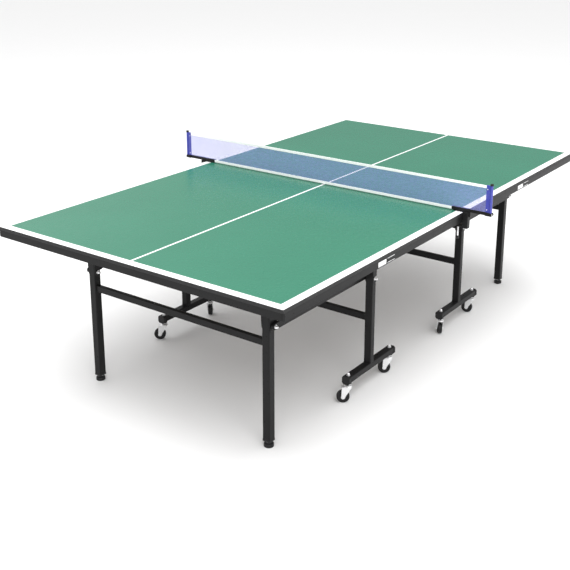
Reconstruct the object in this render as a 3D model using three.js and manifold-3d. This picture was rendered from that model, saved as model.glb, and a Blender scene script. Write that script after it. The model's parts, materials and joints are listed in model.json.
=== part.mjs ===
// Folding ping pong table: two wheeled halves, folding end legs and a clamp-on net. Millimetres, +Z up.
// Origin on the floor under the middle of the net, +X along the table. "near" is the -X half, "far"
// the +X half; "left" is +Y and "right" is -Y.
import * as THREE from "three";
import { mergeVertices } from "three/addons/utils/BufferGeometryUtils.js";
import Module from "manifold-3d";

const wasm = await Module();
wasm.setup();

// ---- Driving dimensions -----------------------------------------------------------------------
const LENGTH = 2740; // regulation playing surface
const WIDTH = 1525;
const HEIGHT = 760;
const FIT = 0.3; // clearance between pieces that touch
const HALF_GAP = 2; // each half stops this far from the net plane
const PAST = 1; // cutters and joined pieces run this far into their neighbours

const BOARD = { thick: 16, cornerR: 3 };
const APRON = { deep: 29.5, rail: 32, wall: 2 };

const LEG = { x: 1090, y: 484, size: 36, wall: 1.5, cornerR: 4, bottom: 34, top: 728, pivotZ: 720 };
const LEG_PLUG = { high: 15, drop: 2, inset: 1.4 }; // closes the leg's end and carries the foot
const LEG_COLLAR = { high: 8, grow: 2 };
const FOOT = { r: 21, thick: 16, edge: 2, shoulder: 3, nutR: 13, nutHigh: 9, stemR: 5, stemTop: 74 };
const LEG_BAR = { z: 453, deep: 20, high: 30, wall: 1.5, cornerR: 2 };

const POST = { x: 430, y: 545, wide: 36, deep: 30, wall: 2, cornerR: 4, top: 731, pivotZ: 720 };
const POST_BAR = { z: 341, deep: 20, high: 30, wall: 1.5, cornerR: 2 };
const BEAM = { half: 194, shift: 7, wide: 36, high: 30, bottom: 98, wall: 2, cornerR: 4 };

const PIVOT_R = 6; // the pivot bolts of the posts and the legs
const PIVOT_PAST = 4; // a pivot bolt stands this far out of its bracket
const BRACKET_FLANGE = 8; // the top plate beyond each cheek
// Cheeks run down each side of a leg or post; x is measured towards the net.
const LEG_BRACKET = { plate: 3, side: 0.5, back: -18, front: 44, shoulderZ: 604, ear: [30, 546] };
const POST_BRACKET = { plate: 2, side: 0.5, back: -15, front: 15, shoulderZ: 640, ear: [15, 546] };
const CHEEK_TIP = { half: 15, z: 520, bottomZ: 508 };
const CHEEK_WINDOW = [[18.5, 543], [25, 552], [33, 585], [33, 604], [18.5, 604]]; // in a leg's cheek
const LOCK = { z: 530, r: 4, nutR: 7, nutLong: 6, headR: 7, headLong: 5, slotBelow: 5.2, slotAbove: 7 };
const LINK = { y: 507.5, thick: 12, high: 26, eyeR: 4.4 }; // bar from each post's bolt to its leg's

const BORE_GAP = 0.4; // round a pin or stem that turns
const CASTER = { offset: 175, trail: 22, bossR: 15, bossBottom: 90, pinR: 4, pinBottom: 70 };
const KING_RIVET = { r: 7, top: 74.5 };
const FORK = { crownTop: 89.7, plateTop: 78, plateBottom: 75, cheekIn: 12.6, cheekOut: 14.6, hubR: 9 };
const CROWN = { flangeR: 17, neckR: 13, neckZ: 81 };
const FORK_PLATE = [-14, 22]; // from the kingpin along the trail
const AXLE_HEAD = { r: 5.5, long: 3 };
const WHEEL = { r: 29, wide: 22, boreR: 3.3, axleR: 3, sideR: 23, edgeR: 27.5, edge: 1.5, shoulder: 5 };

const NET = { top: 903, bottom: 764.5, thick: 2.4, halfWide: 868.5 };
const ARM = { inner: 704, outer: 903, x0: -1.5, x1: 12.5, bottom: 764, top: 779, seatX: -8 };
const CLAMP = { bottom: 686, jawTop: 698, jawIn: 724, thick: 28, x0: -11, x1: 17, plateIn: 712 };
const SCREW = { x: 9.6, y: 735, r: 4.5, bottom: 627, padR: 7, padHigh: 4 };
const SCREW_KNOB = { r: 11, high: 14, edge: 2 };
const NET_POST = { y: 893, r: 6.5, top: 906, stripIn: 869, stripOut: 888, stripTop: 905, stripHalf: 2 };

// ---- Materials ---------------------------------------------------------------------------------
const paint = (color, roughness, metalness) => ({ color, roughness, metalness });
const FINISH = {
  playing_surface: paint(0x3f8f74, 0.35, 0.0),
  black_frame: paint(0x3a3a3c, 0.5, 0.3),
  zinc: paint(0xd8dadc, 0.3, 0.9),
  black_plastic: paint(0x222224, 0.55, 0.0),
  wheel_rubber: paint(0x1c1c1e, 0.6, 0.0),
  net_blue: paint(0x5b66b4, 0.8, 0.0),
  post_blue: paint(0x4048a8, 0.4, 0.1),
};

const table = new THREE.Group();

// ---- Solid helpers -----------------------------------------------------------------------------
function solid(geometry) {
  const bare = geometry.index ? geometry.toNonIndexed() : geometry.clone();
  bare.deleteAttribute("normal");
  bare.deleteAttribute("uv");
  const merged = mergeVertices(bare, 1e-3);
  const vertProperties = merged.attributes.position.array;
  const triVerts = new Uint32Array(merged.index.array);
  return new wasm.Manifold(new wasm.Mesh({ numProp: 3, vertProperties, triVerts }));
}

function geometryOf(manifold) {
  const mesh = manifold.getMesh();
  const geometry = new THREE.BufferGeometry();
  geometry.setAttribute("position", new THREE.BufferAttribute(mesh.vertProperties, 3));
  geometry.setIndex(new THREE.BufferAttribute(mesh.triVerts, 1));
  geometry.computeVertexNormals();
  return geometry;
}

// The first solid with the others joined on.
function join(first, ...others) {
  return others.reduce((whole, next) => whole.add(next), first);
}

// The first solid with the others taken away.
function cut(first, ...others) {
  return others.reduce((whole, next) => whole.subtract(next), first);
}

// A box between two corners; each range may be given in either order.
function block(xs, ys, zs) {
  const [[x0, x1], [y0, y1], [z0, z1]] = [xs, ys, zs].map((r) => [Math.min(...r), Math.max(...r)]);
  const geometry = new THREE.BoxGeometry(x1 - x0, y1 - y0, z1 - z0);
  geometry.translate((x0 + x1) / 2, (y0 + y1) / 2, (z0 + z1) / 2);
  return solid(geometry);
}

// A cylinder along one axis, from a to b on it; the two other coordinates are its centre.
function rod(axis, radius, a, b, centre, segments = 12) {
  const [low, high] = [Math.min(a, b), Math.max(a, b)];
  const geometry = new THREE.CylinderGeometry(radius, radius, high - low, segments);
  geometry.translate(0, (low + high) / 2, 0);
  if (axis === "y") geometry.translate(centre[0], 0, centre[1]);
  if (axis === "z") geometry.rotateX(Math.PI / 2).translate(centre[0], centre[1], 0);
  return solid(geometry);
}

function roundedShape(kind, w, h, r) {
  const shape = new kind();
  const [x, y] = [w / 2, h / 2];
  shape.moveTo(-x + r, -y).lineTo(x - r, -y).absarc(x - r, -y + r, r, -Math.PI / 2, 0);
  shape.lineTo(x, y - r).absarc(x - r, y - r, r, 0, Math.PI / 2);
  shape.lineTo(-x + r, y).absarc(-x + r, y - r, r, Math.PI / 2, Math.PI);
  shape.lineTo(-x, -y + r).absarc(-x + r, -y + r, r, Math.PI, 1.5 * Math.PI);
  return shape;
}

function extruded(shape, depth) {
  return new THREE.ExtrudeGeometry(shape, { depth, bevelEnabled: false, curveSegments: 2 });
}

// A rounded rectangular tube, open at both ends, standing on z = 0 and centred on the axis.
function tube(w, h, r, wall, length) {
  const shape = roundedShape(THREE.Shape, w, h, r);
  shape.holes.push(roundedShape(THREE.Path, w - 2 * wall, h - 2 * wall, Math.max(r - wall, 0.6)));
  return extruded(shape, length);
}

// A turned piece; profile points are [radius, z].
function turned(points, segments = 20) {
  const profile = points.map(([r, z]) => new THREE.Vector2(r, z));
  return solid(new THREE.LatheGeometry(profile, segments).rotateX(Math.PI / 2));
}

function addNode(name, finish, manifold, place = new THREE.Matrix4()) {
  const mesh = new THREE.Mesh(geometryOf(manifold), new THREE.MeshStandardMaterial(FINISH[finish]));
  mesh.name = name;
  mesh.applyMatrix4(place);
  table.add(mesh);
}

// ---- Top, apron and their brackets --------------------------------------------------------------
// side is -1 for the near half and +1 for the far half; hand is +1 for left and -1 for right.
function addTabletop(half, side) {
  const long = LENGTH / 2 - HALF_GAP;
  const board = extruded(roundedShape(THREE.Shape, long, WIDTH, BOARD.cornerR), BOARD.thick);
  board.translate(side * (HALF_GAP + long / 2), 0, HEIGHT - BOARD.thick);
  addNode(`${half}_tabletop`, "playing_surface", solid(board));
}

// A steel channel on three sides, open inwards and at the net.
function addApron(half, side) {
  const top = HEIGHT - BOARD.thick - FIT;
  const bottom = HEIGHT - BOARD.thick - APRON.deep;
  const end = LENGTH / 2;
  const outer = block([side * HALF_GAP, side * end], [-WIDTH / 2, WIDTH / 2], [bottom, top]);
  const inY = WIDTH / 2 - APRON.rail;
  const opening = block([0, side * (end - APRON.rail)], [-inY, inY], [bottom - PAST, top + PAST]);
  const webY = WIDTH / 2 - APRON.wall;
  const channelX = [0, side * (end - APRON.wall)];
  const channel = block(channelX, [-webY, webY], [bottom + APRON.wall, top - APRON.wall]);
  addNode(`${half}_apron_frame`, "black_frame", cut(outer, opening, channel));
}

// One cheek, with the pivot's bore and the hook notch for the lock bolt, open towards the net.
function cheek({ plate, back, front, shoulderZ, ear }, pivotZ, window) {
  const top = HEIGHT - BOARD.thick - FIT;
  const { half, z, bottomZ } = CHEEK_TIP;
  const shape = new THREE.Shape();
  shape.moveTo(back, top).lineTo(back, ear[1]).lineTo(-half, z);
  shape.quadraticCurveTo(-half, bottomZ, 0, bottomZ).quadraticCurveTo(half, bottomZ, half, z);
  shape.lineTo(...ear).lineTo(front, shoulderZ).lineTo(front, top).closePath();
  if (window) shape.holes.push(new THREE.Path(window.map((p) => new THREE.Vector2(...p))));
  const sheet = solid(extruded(shape, plate).rotateX(Math.PI / 2));
  const notchZ = [LOCK.z - LOCK.slotBelow, LOCK.z + LOCK.slotAbove];
  const through = [-plate - PAST, plate + PAST];
  const notch = block([-LOCK.r - PAST, front + PAST], through, notchZ);
  const bore = rod("y", PIVOT_R + FIT, ...through, [0, pivotZ]);
  return cut(sheet, notch, bore);
}

// A top plate screwed under the board, with a cheek on each side of a leg or post.
function addBracket(name, side, y, { x, pivotZ }, width, form, window) {
  const top = HEIGHT - BOARD.thick - FIT;
  const inner = width / 2 + form.side;
  const outer = inner + form.plate;
  const seatY = outer + BRACKET_FLANGE;
  const seat = block([form.back, form.front], [-seatY, seatY], [top - form.plate, top]);
  const profile = cheek(form, pivotZ, window);
  const bracket = join(seat, profile.translate([0, outer, 0]), profile.translate([0, -inner, 0]));
  addNode(name, "black_frame", bracket, netwards(side, x, y));
}

// Places a piece drawn with +x towards the net at (x, y) on one half.
function netwards(side, x, y) {
  const place = new THREE.Matrix4().makeTranslation(side * x, y, 0);
  return place.multiply(new THREE.Matrix4().makeScale(-side, 1, 1));
}

// The bolt that the bracket's notch hooks over, with its dome nut on the -y side. It also carries
// the link, so it reaches past the link's outer face.
function lockBolt(y, width, bracket) {
  const face = width / 2 + bracket.side + bracket.plate + FIT;
  const linkFaces = [LINK.y - FIT, LINK.y + LINK.thick + FIT].map((at) => Math.sign(y) * at - y);
  const low = Math.min(-face, ...linkFaces);
  const high = Math.max(face, ...linkFaces);
  const shank = rod("y", LOCK.r, low - PAST, high + PAST, [0, LOCK.z]);
  const nut = rod("y", LOCK.nutR, low - LOCK.nutLong, low, [0, LOCK.z]);
  const head = rod("y", LOCK.headR, high, high + LOCK.headLong, [0, LOCK.z]);
  return join(shank, nut, head);
}

// The pivot bolt through a leg or post and both cheeks of its bracket.
function pivotBolt(width, bracket, pivotZ) {
  const reach = width / 2 + bracket.side + bracket.plate + PIVOT_PAST;
  return rod("y", PIVOT_R, -reach, reach, [0, pivotZ]);
}

// ---- Folding end legs ---------------------------------------------------------------------------
function addOuterLeg(name, side, y) {
  const { size, wall, cornerR, bottom, top, pivotZ } = LEG;
  const body = solid(tube(size, size, cornerR, wall, top - bottom).translate(0, 0, bottom));
  const plugR = size / 2 - LEG_PLUG.inset;
  const plugTop = bottom + LEG_PLUG.high;
  const plug = block([-plugR, plugR], [-plugR, plugR], [bottom - LEG_PLUG.drop, plugTop]);
  const collarSize = size + LEG_COLLAR.grow;
  const collarBottom = bottom - LEG_COLLAR.high;
  const collarShape = roundedShape(THREE.Shape, collarSize, collarSize, cornerR);
  const collar = solid(extruded(collarShape, LEG_COLLAR.high).translate(0, 0, collarBottom));
  const stemHole = rod("z", FOOT.stemR + BORE_GAP, collarBottom - PAST, plugTop + PAST, [0, 0]);
  const bored = cut(join(body, plug, collar), stemHole);
  const bolts = [pivotBolt(size, LEG_BRACKET, pivotZ), lockBolt(y, size, LEG_BRACKET)];
  const leg = join(bored, ...bolts);
  addNode(name, "black_frame", leg, netwards(side, LEG.x, y));
}

function addFoot(name, side, y) {
  const { r, thick, edge, shoulder, nutR, nutHigh, stemR, stemTop } = FOOT;
  const nutTop = thick + nutHigh;
  const foot = turned([
    [0, 0], [r - edge, 0], [r, edge], [r, thick - shoulder], [r - shoulder, thick],
    [nutR, thick], [nutR, nutTop], [stemR, nutTop], [stemR, stemTop], [0, stemTop],
  ]);
  addNode(name, "black_plastic", foot, netwards(side, LEG.x, y));
}

// A cross tube along y at height z between two uprights whose inner faces are at y = ±reach.
function addCrossbar(name, x, reach, bar) {
  const long = 2 * (reach - FIT);
  const body = tube(bar.deep, bar.high, bar.cornerR, bar.wall, long).translate(0, 0, -long / 2);
  body.rotateX(Math.PI / 2).translate(x, 0, bar.z);
  addNode(name, "black_frame", solid(body));
}

// The bar that keeps a leg parallel to its wheel post as the half tilts.
function addLink(name, side, hand) {
  const long = LEG.x - POST.x;
  const r = LINK.high / 2;
  const shape = new THREE.Shape();
  shape.moveTo(0, -r).lineTo(long, -r).absarc(long, 0, r, -Math.PI / 2, Math.PI / 2);
  shape.lineTo(0, r).absarc(0, 0, r, Math.PI / 2, 1.5 * Math.PI);
  const sheet = new THREE.ExtrudeGeometry(shape, {
    depth: LINK.thick, bevelEnabled: false, curveSegments: 6,
  });
  const bar = solid(sheet.rotateX(Math.PI / 2));
  const eyes = [0, long].map((x) => rod("y", LINK.eyeR, -LINK.thick - PAST, PAST, [x, 0], 16));
  const inner = hand > 0 ? LINK.y + LINK.thick : -LINK.y;
  const place = new THREE.Matrix4().makeTranslation(side * POST.x, inner, LOCK.z);
  addNode(name, "black_frame", cut(bar, ...eyes), place.multiply(mirrorFor(side)));
}

// Turns a piece drawn with +x away from the net so that it fits one half.
function mirrorFor(side) {
  return new THREE.Matrix4().makeScale(side, 1, 1);
}

// ---- Wheeled undercarriage ------------------------------------------------------------------------
function addWheelPost(name, side, y) {
  const { wide, deep, wall, cornerR, top, pivotZ } = POST;
  const bottom = BEAM.bottom + BEAM.high + FIT;
  const body = solid(tube(deep, wide, cornerR, wall, top - bottom).translate(0, 0, bottom));
  const bolts = [pivotBolt(wide, POST_BRACKET, pivotZ), lockBolt(y, wide, POST_BRACKET)];
  const post = join(body, ...bolts);
  addNode(name, "black_frame", post, netwards(side, POST.x, y));
}

// The beam along x, with the boss and kingpin of each caster under it.
function addWheelBeam(name, side, y) {
  const { half, wide, high, bottom, wall, cornerR } = BEAM;
  const body = tube(high, wide, cornerR, wall, 2 * half).translate(0, 0, -half);
  body.rotateY(Math.PI / 2).translate(0, 0, bottom + high / 2);
  let beam = solid(body);
  for (const x of [-CASTER.offset, CASTER.offset]) {
    const boss = rod("z", CASTER.bossR, CASTER.bossBottom, bottom + PAST, [x, 0]);
    const pin = rod("z", CASTER.pinR, CASTER.pinBottom, CASTER.bossBottom + PAST, [x, 0]);
    const rivet = rod("z", KING_RIVET.r, CASTER.pinBottom, KING_RIVET.top, [x, 0]);
    beam = join(beam, boss, pin, rivet);
  }
  const place = new THREE.Matrix4().makeTranslation(side * POST.x + BEAM.shift, y, 0);
  addNode(name, "black_frame", beam, place);
}

// The fork trails towards +x from its kingpin at the origin.
function casterFork() {
  const { crownTop, plateTop, plateBottom, cheekIn, cheekOut, hubR } = FORK;
  const { flangeR, neckR, neckZ } = CROWN;
  const bore = CASTER.pinR + BORE_GAP;
  const crown = turned([
    [bore, plateBottom], [flangeR, plateBottom], [flangeR, plateTop], [neckR, neckZ],
    [neckR, crownTop], [bore, crownTop], [bore, plateBottom],
  ], 16);
  const plate = block(FORK_PLATE, [-cheekOut, cheekOut], [plateBottom, plateTop]);
  const kingHole = rod("z", bore, plateBottom - PAST, crownTop + PAST, [0, 0], 16);
  const outline = new THREE.Shape();
  outline.moveTo(FORK_PLATE[0], plateTop).lineTo(CASTER.trail - hubR, WHEEL.r);
  outline.absarc(CASTER.trail, WHEEL.r, hubR, Math.PI, 2 * Math.PI);
  outline.lineTo(FORK_PLATE[1], plateTop).closePath();
  const sheet = new THREE.ExtrudeGeometry(outline, {
    depth: cheekOut - cheekIn, bevelEnabled: false, curveSegments: 5,
  });
  const arm = solid(sheet.rotateX(Math.PI / 2));
  const hub = [CASTER.trail, WHEEL.r];
  const axle = rod("y", WHEEL.axleR, -cheekOut - PAST, cheekOut + PAST, hub, 16);
  const heads = [-1, 1].map((s) =>
    rod("y", AXLE_HEAD.r, s * (cheekOut - FIT), s * (cheekOut + AXLE_HEAD.long), hub, 6),
  );
  const sides = [arm.translate([0, cheekOut, 0]), arm.translate([0, -cheekIn, 0])];
  return join(cut(join(crown, plate), kingHole), ...sides, axle, ...heads);
}

function casterWheel() {
  const { r, wide, boreR, sideR, edgeR, edge, shoulder } = WHEEL;
  const w = wide / 2;
  const profile = [
    [boreR, -w], [sideR, -w], [edgeR, edge - w], [r, shoulder - w],
    [r, w - shoulder], [edgeR, w - edge], [sideR, w], [boreR, w], [boreR, -w],
  ];
  const wheel = new THREE.LatheGeometry(profile.map((p) => new THREE.Vector2(...p)), 24);
  return solid(wheel).translate([CASTER.trail, 0, r]);
}

// heading is the direction, in degrees from +X, in which the fork trails.
function addCaster(name, x, y, heading) {
  const place = new THREE.Matrix4().makeTranslation(x, y, 0);
  place.multiply(new THREE.Matrix4().makeRotationZ(THREE.MathUtils.degToRad(heading)));
  addNode(`${name}_caster_fork`, "zinc", casterFork(), place);
  addNode(`${name}_caster_wheel`, "wheel_rubber", casterWheel(), place);
}

// ---- Net set, clamped to the far half --------------------------------------------------------------
function addNet() {
  const [x0, x1] = [-NET.thick / 2, NET.thick / 2];
  const sheet = block([x0, x1], [-NET.halfWide, NET.halfWide], [NET.bottom, NET.top]);
  const armX = [x0 - PAST, x1 + PAST];
  const armZ = [NET.bottom - PAST, ARM.top + FIT];
  const overArm = [1, -1].map((s) =>
    block(armX, [s * (ARM.inner - PAST), s * (NET.halfWide + PAST)], armZ),
  );
  addNode("net_mesh", "net_blue", cut(sheet, ...overArm));
}

function addClampArm(name, hand) {
  const y = (a, b) => [hand * a, hand * b];
  const edge = WIDTH / 2 + FIT;
  const barX = [ARM.x0, ARM.x1];
  const bar = block(barX, y(ARM.inner, ARM.outer), [ARM.bottom, ARM.top]);
  const outerFace = edge + CLAMP.thick;
  const seat = block([ARM.seatX, ARM.x1], y(NET.halfWide + PAST, ARM.outer), [ARM.bottom, ARM.top]);
  const armFoot = ARM.bottom + PAST;
  const upperJaw = block([ARM.x0, CLAMP.x1], y(CLAMP.plateIn, outerFace), [HEIGHT + FIT, armFoot]);
  const back = block([CLAMP.x0, CLAMP.x1], y(edge, outerFace), [CLAMP.bottom, armFoot]);
  const jawX = [HALF_GAP + FIT, CLAMP.x1];
  const jaw = block(jawX, y(CLAMP.jawIn, edge + PAST), [CLAMP.bottom, CLAMP.jawTop]);
  const holeZ = [CLAMP.bottom - PAST, CLAMP.jawTop + PAST];
  const screwHole = rod("z", SCREW.r + BORE_GAP, ...holeZ, [SCREW.x, hand * SCREW.y]);
  addNode(name, "black_frame", cut(join(bar, seat, upperJaw, back, jaw), screwHole));
}

function addClampScrew(name, hand) {
  const { r, bottom, padR, padHigh } = SCREW;
  const knob = SCREW_KNOB;
  const top = HEIGHT - BOARD.thick - APRON.deep - FIT;
  const screw = turned([
    [0, bottom], [knob.r - knob.edge, bottom], [knob.r, bottom + knob.edge],
    [knob.r, bottom + knob.high - knob.edge], [r, bottom + knob.high],
    [r, top - padHigh], [padR, top - padHigh], [padR, top], [0, top],
  ], 16);
  addNode(name, "zinc", screw, new THREE.Matrix4().makeTranslation(SCREW.x, hand * SCREW.y, 0));
}

function addNetPost(name, hand) {
  const { y, r, top, stripIn, stripOut, stripTop, stripHalf } = NET_POST;
  const foot = ARM.top + FIT;
  const round = rod("z", r, foot, top, [0, hand * y]);
  const strip = block([-stripHalf, stripHalf], [hand * stripIn, hand * stripOut], [foot, stripTop]);
  addNode(name, "post_blue", join(round, strip));
}

// ---- Assembly ---------------------------------------------------------------------------------------
const HALVES = [["near", -1], ["far", 1]];
const HANDS = [["left", 1], ["right", -1]];
// Trailing direction of each caster as the table was last rolled, [outer end, net end].
const HEADINGS = {
  near_left: [126, 36], near_right: [126, 126],
  far_left: [150, 126], far_right: [100, 36],
};

for (const [half, side] of HALVES) {
  addTabletop(half, side);
  addApron(half, side);
  addCrossbar(`${half}_outer_crossbar`, side * LEG.x, LEG.y - LEG.size / 2, LEG_BAR);
  addCrossbar(`${half}_undercarriage_crossbar`, side * POST.x, POST.y - POST.wide / 2, POST_BAR);
  for (const [hand, s] of HANDS) {
    const at = `${half}_${hand}`;
    addOuterLeg(`${at}_outer_leg`, side, s * LEG.y);
    addFoot(`${at}_leveling_foot`, side, s * LEG.y);
    addBracket(`${at}_leg_bracket`, side, s * LEG.y, LEG, LEG.size, LEG_BRACKET, CHEEK_WINDOW);
    addWheelPost(`${at}_wheel_post`, side, s * POST.y);
    addWheelBeam(`${at}_wheel_beam`, side, s * POST.y);
    addBracket(`${at}_post_bracket`, side, s * POST.y, POST, POST.wide, POST_BRACKET);
    addLink(`${at}_leg_link`, side, s);
    const [outer, inner] = HEADINGS[at];
    addCaster(`${at}_outer`, side * (POST.x + CASTER.offset) + BEAM.shift, s * POST.y, outer);
    addCaster(`${at}_inner`, side * (POST.x - CASTER.offset) + BEAM.shift, s * POST.y, inner);
  }
}

addNet();
for (const [hand, s] of HANDS) {
  addClampArm(`${hand}_net_clamp_arm`, s);
  addClampScrew(`${hand}_clamp_screw`, s);
  addNetPost(`${hand}_net_post`, s);
}

export default table;
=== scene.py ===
"""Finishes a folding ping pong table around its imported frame.

Every size is in metres in the frame's own axes: X along the table, Y across it, Z up, with the
origin on the floor under the middle of the net. "near" is the -X half and "left" is +Y.
"""
import json
import math
from contextlib import contextmanager

import bmesh
import bpy
from bpy.props import FloatProperty, FloatVectorProperty, IntProperty, PointerProperty
from mathutils import Matrix, Vector


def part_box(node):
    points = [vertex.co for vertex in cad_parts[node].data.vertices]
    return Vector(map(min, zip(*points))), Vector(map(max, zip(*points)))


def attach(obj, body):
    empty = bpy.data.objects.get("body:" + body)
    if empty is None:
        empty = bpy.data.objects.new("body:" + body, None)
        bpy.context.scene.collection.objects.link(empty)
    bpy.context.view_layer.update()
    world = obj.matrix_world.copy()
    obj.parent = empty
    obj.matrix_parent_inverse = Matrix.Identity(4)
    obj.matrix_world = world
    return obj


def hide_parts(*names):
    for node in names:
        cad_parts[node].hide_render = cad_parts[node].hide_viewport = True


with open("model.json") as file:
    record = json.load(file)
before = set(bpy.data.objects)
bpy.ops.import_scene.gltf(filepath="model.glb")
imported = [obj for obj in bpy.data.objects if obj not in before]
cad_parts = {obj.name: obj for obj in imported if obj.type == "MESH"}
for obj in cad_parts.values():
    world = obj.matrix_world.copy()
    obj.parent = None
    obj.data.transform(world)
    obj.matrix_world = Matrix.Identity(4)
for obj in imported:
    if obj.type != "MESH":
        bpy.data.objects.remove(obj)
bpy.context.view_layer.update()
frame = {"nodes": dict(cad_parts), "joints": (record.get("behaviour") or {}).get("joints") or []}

bl_info = {
    "name": "Ping Pong Table",
    "version": (1, 0, 0),
    "blender": (4, 5, 0),
    "location": "View3D > Sidebar > Table",
    "description": "Models and finishes the pieces of a folding ping pong table",
    "category": "Object",
}

MM = 0.001
HALVES = (("near", -1), ("far", 1))
HANDS = (("left", 1), ("right", -1))
ENDS = ("outer", "inner")

# Sizes of the steelwork.
LEG_TUBE = 36 * MM
POST_TUBE = (30 * MM, 36 * MM)
BEAM_TUBE = (36 * MM, 30 * MM)
TUBE_WALL = 1.8 * MM
LINK_BOLT_Z = 0.530
PIVOT_Z = 0.720
PIVOT_R = 6 * MM
BRACKET_PLATE = {"leg": 3 * MM, "post": 2 * MM}
BRACKET_FACE = {"leg": 21.5 * MM, "post": 20.5 * MM}  # outer face of a cheek, from its leg or post
LINK_Y = (507.5 * MM, 519.5 * MM)  # a link's inner and outer faces, from the table's middle
NUT_R = 7.2 * MM
CASTER_STEM = 0.175  # from the middle of a wheel beam to each caster
SCREW_INSET = 18 * MM  # from the apron's outer face
SIDE_SCREWS = (0.12, 0.205, 7)  # first place along the side, step and count
END_SCREWS = (-0.6, 0.3, 5)

# The net set, measured across the table from its middle.
HOLDER = (0.869, 0.889)  # the flat strip that grips the net
HOLDER_RIVET = 0.8745
NET_POST_Y = 0.893
ARM_IN = 0.704
ARM_END = 0.896  # centre of a clamp arm's round end
ARM_SEAT = (0.8695, 0.900)  # the wide part under the post
UPPER_JAW = (0.712, 0.7905)
LOWER_JAW_IN = 0.724
ARM_EDGE = 0.7628  # just off the board's edge
JAW_UNDER = 0.7603  # just above the board

# Stickers on the right aprons.
STICKER_X = 0.675
STICKER_Z = (0.7195, 0.7395)
STICKER_BLOCK = (-0.064, -0.004)
STICKER_STRIPES = (0.006, 0.062)
STRIPE = 2 * MM


def middle(low, high):
    return (Vector(low) + Vector(high)) / 2


def joint_named(name):
    return next(j for j in frame["joints"] if j["name"] == name)


def corner_names():
    """Every quarter of the table as (half, side, hand, sign, its name)."""
    return [(half, side, hand, s, f"{half}_{hand}") for half, side in HALVES for hand, s in HANDS]


# ---- Modelling helpers ---------------------------------------------------------------

def deselect():
    bpy.ops.object.select_all(action="DESELECT")


def activate(*objects):
    """Selects these objects only; the first is the active one."""
    deselect()
    for o in objects:
        o.select_set(True)
    bpy.context.view_layer.objects.active = objects[0]


@contextmanager
def editing(piece):
    """Edit mode on one piece, with nothing selected at the start."""
    activate(piece)
    bpy.ops.object.mode_set(mode="EDIT")
    bpy.ops.mesh.select_all(action="DESELECT")
    yield
    bpy.ops.object.mode_set(mode="OBJECT")


def pick(piece, kind, test):
    """In edit mode, selects the verts, edges or faces that pass the test, and says how many."""
    bpy.ops.mesh.select_mode(type={"verts": "VERT", "edges": "EDGE", "faces": "FACE"}[kind])
    mesh = bmesh.from_edit_mesh(piece.data)
    for v in mesh.verts:
        v.select = False
    mesh.select_flush(False)
    found = 0
    for item in getattr(mesh, kind):
        if test(item):
            item.select_set(True)
            found += 1
    bmesh.update_edit_mesh(piece.data)
    return found


def centre_of(edge):
    return (edge.verts[0].co + edge.verts[1].co) / 2


def along(axis):
    """A test for edges that run along one axis."""
    def test(edge):
        d = edge.verts[1].co - edge.verts[0].co
        return abs(d[axis]) > 0.99 * d.length
    return test


def settle(piece, name):
    """Names a new object and puts its place into its mesh."""
    piece.name = piece.data.name = name
    activate(piece)
    bpy.ops.object.transform_apply(location=True, rotation=True, scale=True)
    return piece


def block(name, low, high):
    """A box between two corners."""
    low, high = [Vector(map(f, low, high)) for f in (min, max)]
    deselect()
    bpy.ops.mesh.primitive_cube_add(size=1, location=middle(low, high), scale=high - low)
    return settle(bpy.context.object, name)


def round_edges(piece, width, segments=2, test=lambda edge: True):
    with editing(piece):
        if pick(piece, "edges", test):
            bpy.ops.mesh.bevel(offset=width, segments=segments, profile=0.5, affect="EDGES")
    return piece


def soft_block(name, low, high, width=1 * MM, segments=2):
    return round_edges(block(name, low, high), width, segments)


def tube(name, low, high, axis, corner=4 * MM, wall=TUBE_WALL, depth=30 * MM):
    """A rectangular tube along one axis with round corners and open ends."""
    piece = round_edges(block(name, low, high), corner, 5, along(axis))
    with editing(piece):
        pick(piece, "faces", lambda f: abs(f.normal[axis]) > 0.9)
        bpy.ops.mesh.inset(thickness=wall, depth=0)
        bpy.ops.mesh.inset(thickness=0, depth=-depth)
    return piece


def mm(*points):
    """Points given in millimetres, in metres."""
    return [tuple(v * MM for v in point) for point in points]


def turned(name, rings, segments=32, place=Matrix()):
    """A closed turned piece about Z; rings are (radius, height) from one end to the other."""
    deselect()
    radius, height = rings[0]
    bpy.ops.mesh.primitive_circle_add(
        vertices=segments, radius=radius, fill_type="NGON", location=(0, 0, height))
    piece = settle(bpy.context.object, name)
    activate(piece)
    bpy.ops.object.mode_set(mode="EDIT")
    bpy.ops.mesh.select_all(action="SELECT")
    for (r0, z0), (r1, z1) in zip(rings, rings[1:]):
        bpy.ops.mesh.extrude_region_move(TRANSFORM_OT_translate={"value": (0, 0, z1 - z0)})
        bpy.ops.transform.resize(value=(r1 / r0, r1 / r0, 1))
    bpy.ops.mesh.select_all(action="SELECT")
    bpy.ops.mesh.normals_make_consistent(inside=False)
    bpy.ops.object.mode_set(mode="OBJECT")
    piece.matrix_world = place
    return settle(piece, name)


def modified(piece, kind, **values):
    """Adds a modifier, applies it and returns the piece."""
    activate(piece)
    modifier = piece.modifiers.new(kind.lower(), kind)
    for key, value in values.items():
        setattr(modifier, key, value)
    bpy.ops.object.modifier_apply(modifier=modifier.name)
    return piece


def joined(name, *pieces):
    activate(*pieces)
    bpy.ops.object.join()
    pieces[0].name = pieces[0].data.name = name
    return pieces[0]


def copy_of(model, name, place=Matrix()):
    """A copy with a mesh of its own, put in place."""
    piece = model.copy()
    piece.data = model.data.copy()
    piece.name = piece.data.name = name
    bpy.context.collection.objects.link(piece)
    piece.matrix_world = place
    return settle(piece, name)


def discard(*models):
    for model in models:
        bpy.data.objects.remove(model)


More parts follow.
